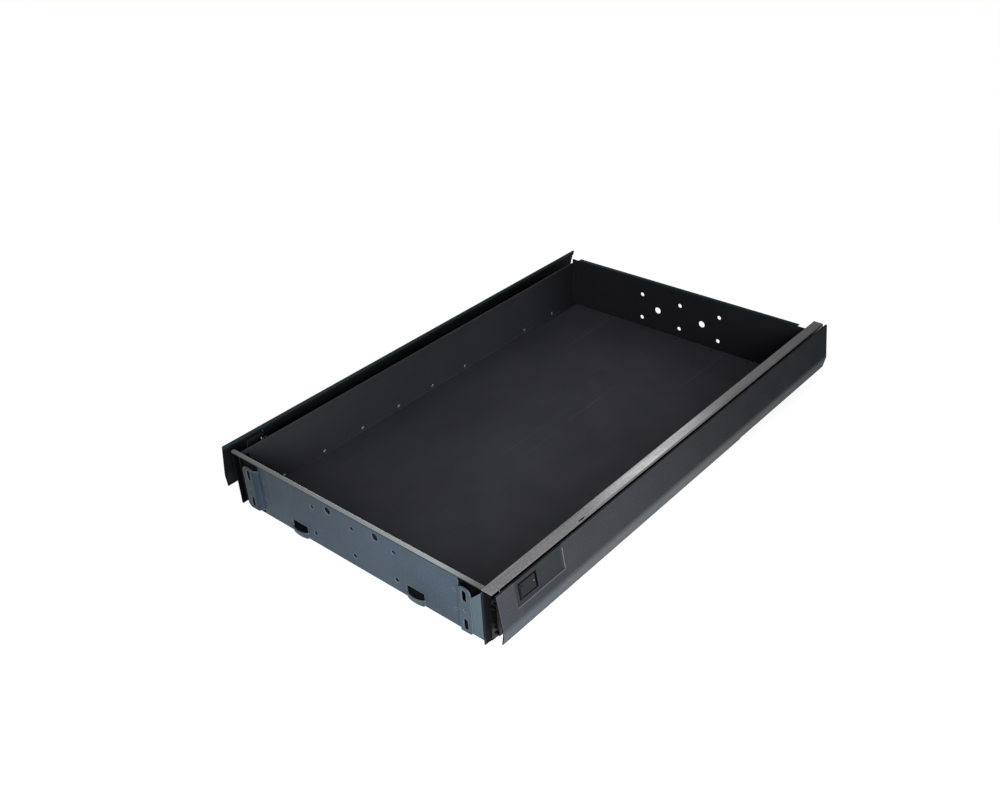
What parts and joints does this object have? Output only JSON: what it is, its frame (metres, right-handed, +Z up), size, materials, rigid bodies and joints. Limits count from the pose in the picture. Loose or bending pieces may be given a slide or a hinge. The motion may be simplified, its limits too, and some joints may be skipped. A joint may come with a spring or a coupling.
{
  "type": "sliding rack drawer",
  "caption": "Shallow steel tray on full-extension ball-bearing slides between two flared side rails, with slotted front pads and a pressed spring latch in each rail.",
  "frame": {"origin": "middle of the closed assembly, on the plane its lowest faces lie in", "axes": "+X to the right seen from the front, +Y from the front wall to the back wall, +Z up"},
  "size_m": [0.4482, 0.686, 0.078],
  "materials": {
    "coated_sheet": "satin powder coat",
    "grey_sheet": "satin blue-grey coat",
    "black_steel": "black plated",
    "zinc_steel": "zinc plated",
    "ball_steel": "polished",
    "spring_steel": "oiled",
    "black_rubber": "matte"
  },
  "bodies": {
    "rails": {"side_shell_right": "coated_sheet", "cabinet_member_right": "black_steel", "bracket_rivets_right": "black_steel", "stop_bumper_right": "black_rubber", "latch_pin_right": "zinc_steel", "latch_spring_right": "spring_steel", "rail_bracket_1_right": "black_steel", "rail_bracket_2_right": "black_steel", "rail_bracket_3_right": "black_steel", "side_shell_left": "coated_sheet", "cabinet_member_left": "black_steel", "bracket_rivets_left": "black_steel", "stop_bumper_left": "black_rubber", "latch_pin_left": "zinc_steel", "latch_spring_left": "spring_steel", "rail_bracket_1_left": "black_steel", "rail_bracket_2_left": "black_steel", "rail_bracket_3_left": "black_steel", "cover_rail_right": "grey_sheet", "cover_rivets_right": "black_steel"},
    "drawer": {"tray_pan": "coated_sheet", "front_wall": "grey_sheet", "back_wall": "coated_sheet", "front_seam_rivets": "grey_sheet", "back_seam_rivets": "coated_sheet", "front_corner_rivets": "grey_sheet", "back_corner_rivets": "coated_sheet", "front_corner_angle_right": "coated_sheet", "back_corner_angle_right": "coated_sheet", "drawer_rivets_right": "zinc_steel", "drawer_member_right": "black_steel", "front_corner_angle_left": "coated_sheet", "back_corner_angle_left": "coated_sheet", "drawer_rivets_left": "zinc_steel", "drawer_member_left": "black_steel"},
    "middle_right": {"middle_member_right": "black_steel"},
    "outer_cage_right": {"outer_cage_right": "black_steel", "outer_balls_right": "ball_steel"},
    "inner_cage_right": {"inner_cage_right": "black_steel", "inner_balls_right": "ball_steel"},
    "latch_right": {"latch_lever_right": "coated_sheet"},
    "middle_left": {"middle_member_left": "black_steel"},
    "outer_cage_left": {"outer_cage_left": "black_steel", "outer_balls_left": "ball_steel"},
    "inner_cage_left": {"inner_cage_left": "black_steel", "inner_balls_left": "ball_steel"},
    "latch_left": {"latch_lever_left": "coated_sheet"}
  },
  "joints": [
    {"name": "drawer_slide", "type": "slide", "parent": "rails", "child": "drawer", "axis": [0, -1, 0], "range_m": [0, 0.6]},
    {"name": "middle_slide_right", "type": "slide", "parent": "rails", "child": "middle_right", "axis": [0, -1, 0], "range_m": [0, 0.3]},
    {"name": "outer_cage_slide_right", "type": "slide", "parent": "rails", "child": "outer_cage_right", "axis": [0, -1, 0], "range_m": [0, 0.15]},
    {"name": "inner_cage_slide_right", "type": "slide", "parent": "rails", "child": "inner_cage_right", "axis": [0, -1, 0], "range_m": [0, 0.45]},
    {"name": "latch_press_right", "type": "hinge", "parent": "rails", "child": "latch_right", "pos_m": [0.21571, -0.2852, 0.06036], "axis": [0.1601, 0, -0.9871], "range_deg": [0, 6], "stiffness_Nm_per_rad": 0.3, "springref_deg": -8.59},
    {"name": "middle_slide_left", "type": "slide", "parent": "rails", "child": "middle_left", "axis": [0, -1, 0], "range_m": [0, 0.3]},
    {"name": "outer_cage_slide_left", "type": "slide", "parent": "rails", "child": "outer_cage_left", "axis": [0, -1, 0], "range_m": [0, 0.15]},
    {"name": "inner_cage_slide_left", "type": "slide", "parent": "rails", "child": "inner_cage_left", "axis": [0, -1, 0], "range_m": [0, 0.45]},
    {"name": "latch_press_left", "type": "hinge", "parent": "rails", "child": "latch_left", "pos_m": [-0.21571, -0.2852, 0.06036], "axis": [0.1601, 0, 0.9871], "range_deg": [0, 6], "stiffness_Nm_per_rad": 0.3, "springref_deg": -8.59}
  ],
  "couplings": [
    {"joint": "middle_slide_right", "follows": "drawer_slide", "ratio": 0.5},
    {"joint": "outer_cage_slide_right", "follows": "drawer_slide", "ratio": 0.25},
    {"joint": "inner_cage_slide_right", "follows": "drawer_slide", "ratio": 0.75},
    {"joint": "middle_slide_left", "follows": "drawer_slide", "ratio": 0.5},
    {"joint": "outer_cage_slide_left", "follows": "drawer_slide", "ratio": 0.25},
    {"joint": "inner_cage_slide_left", "follows": "drawer_slide", "ratio": 0.75}
  ]
}
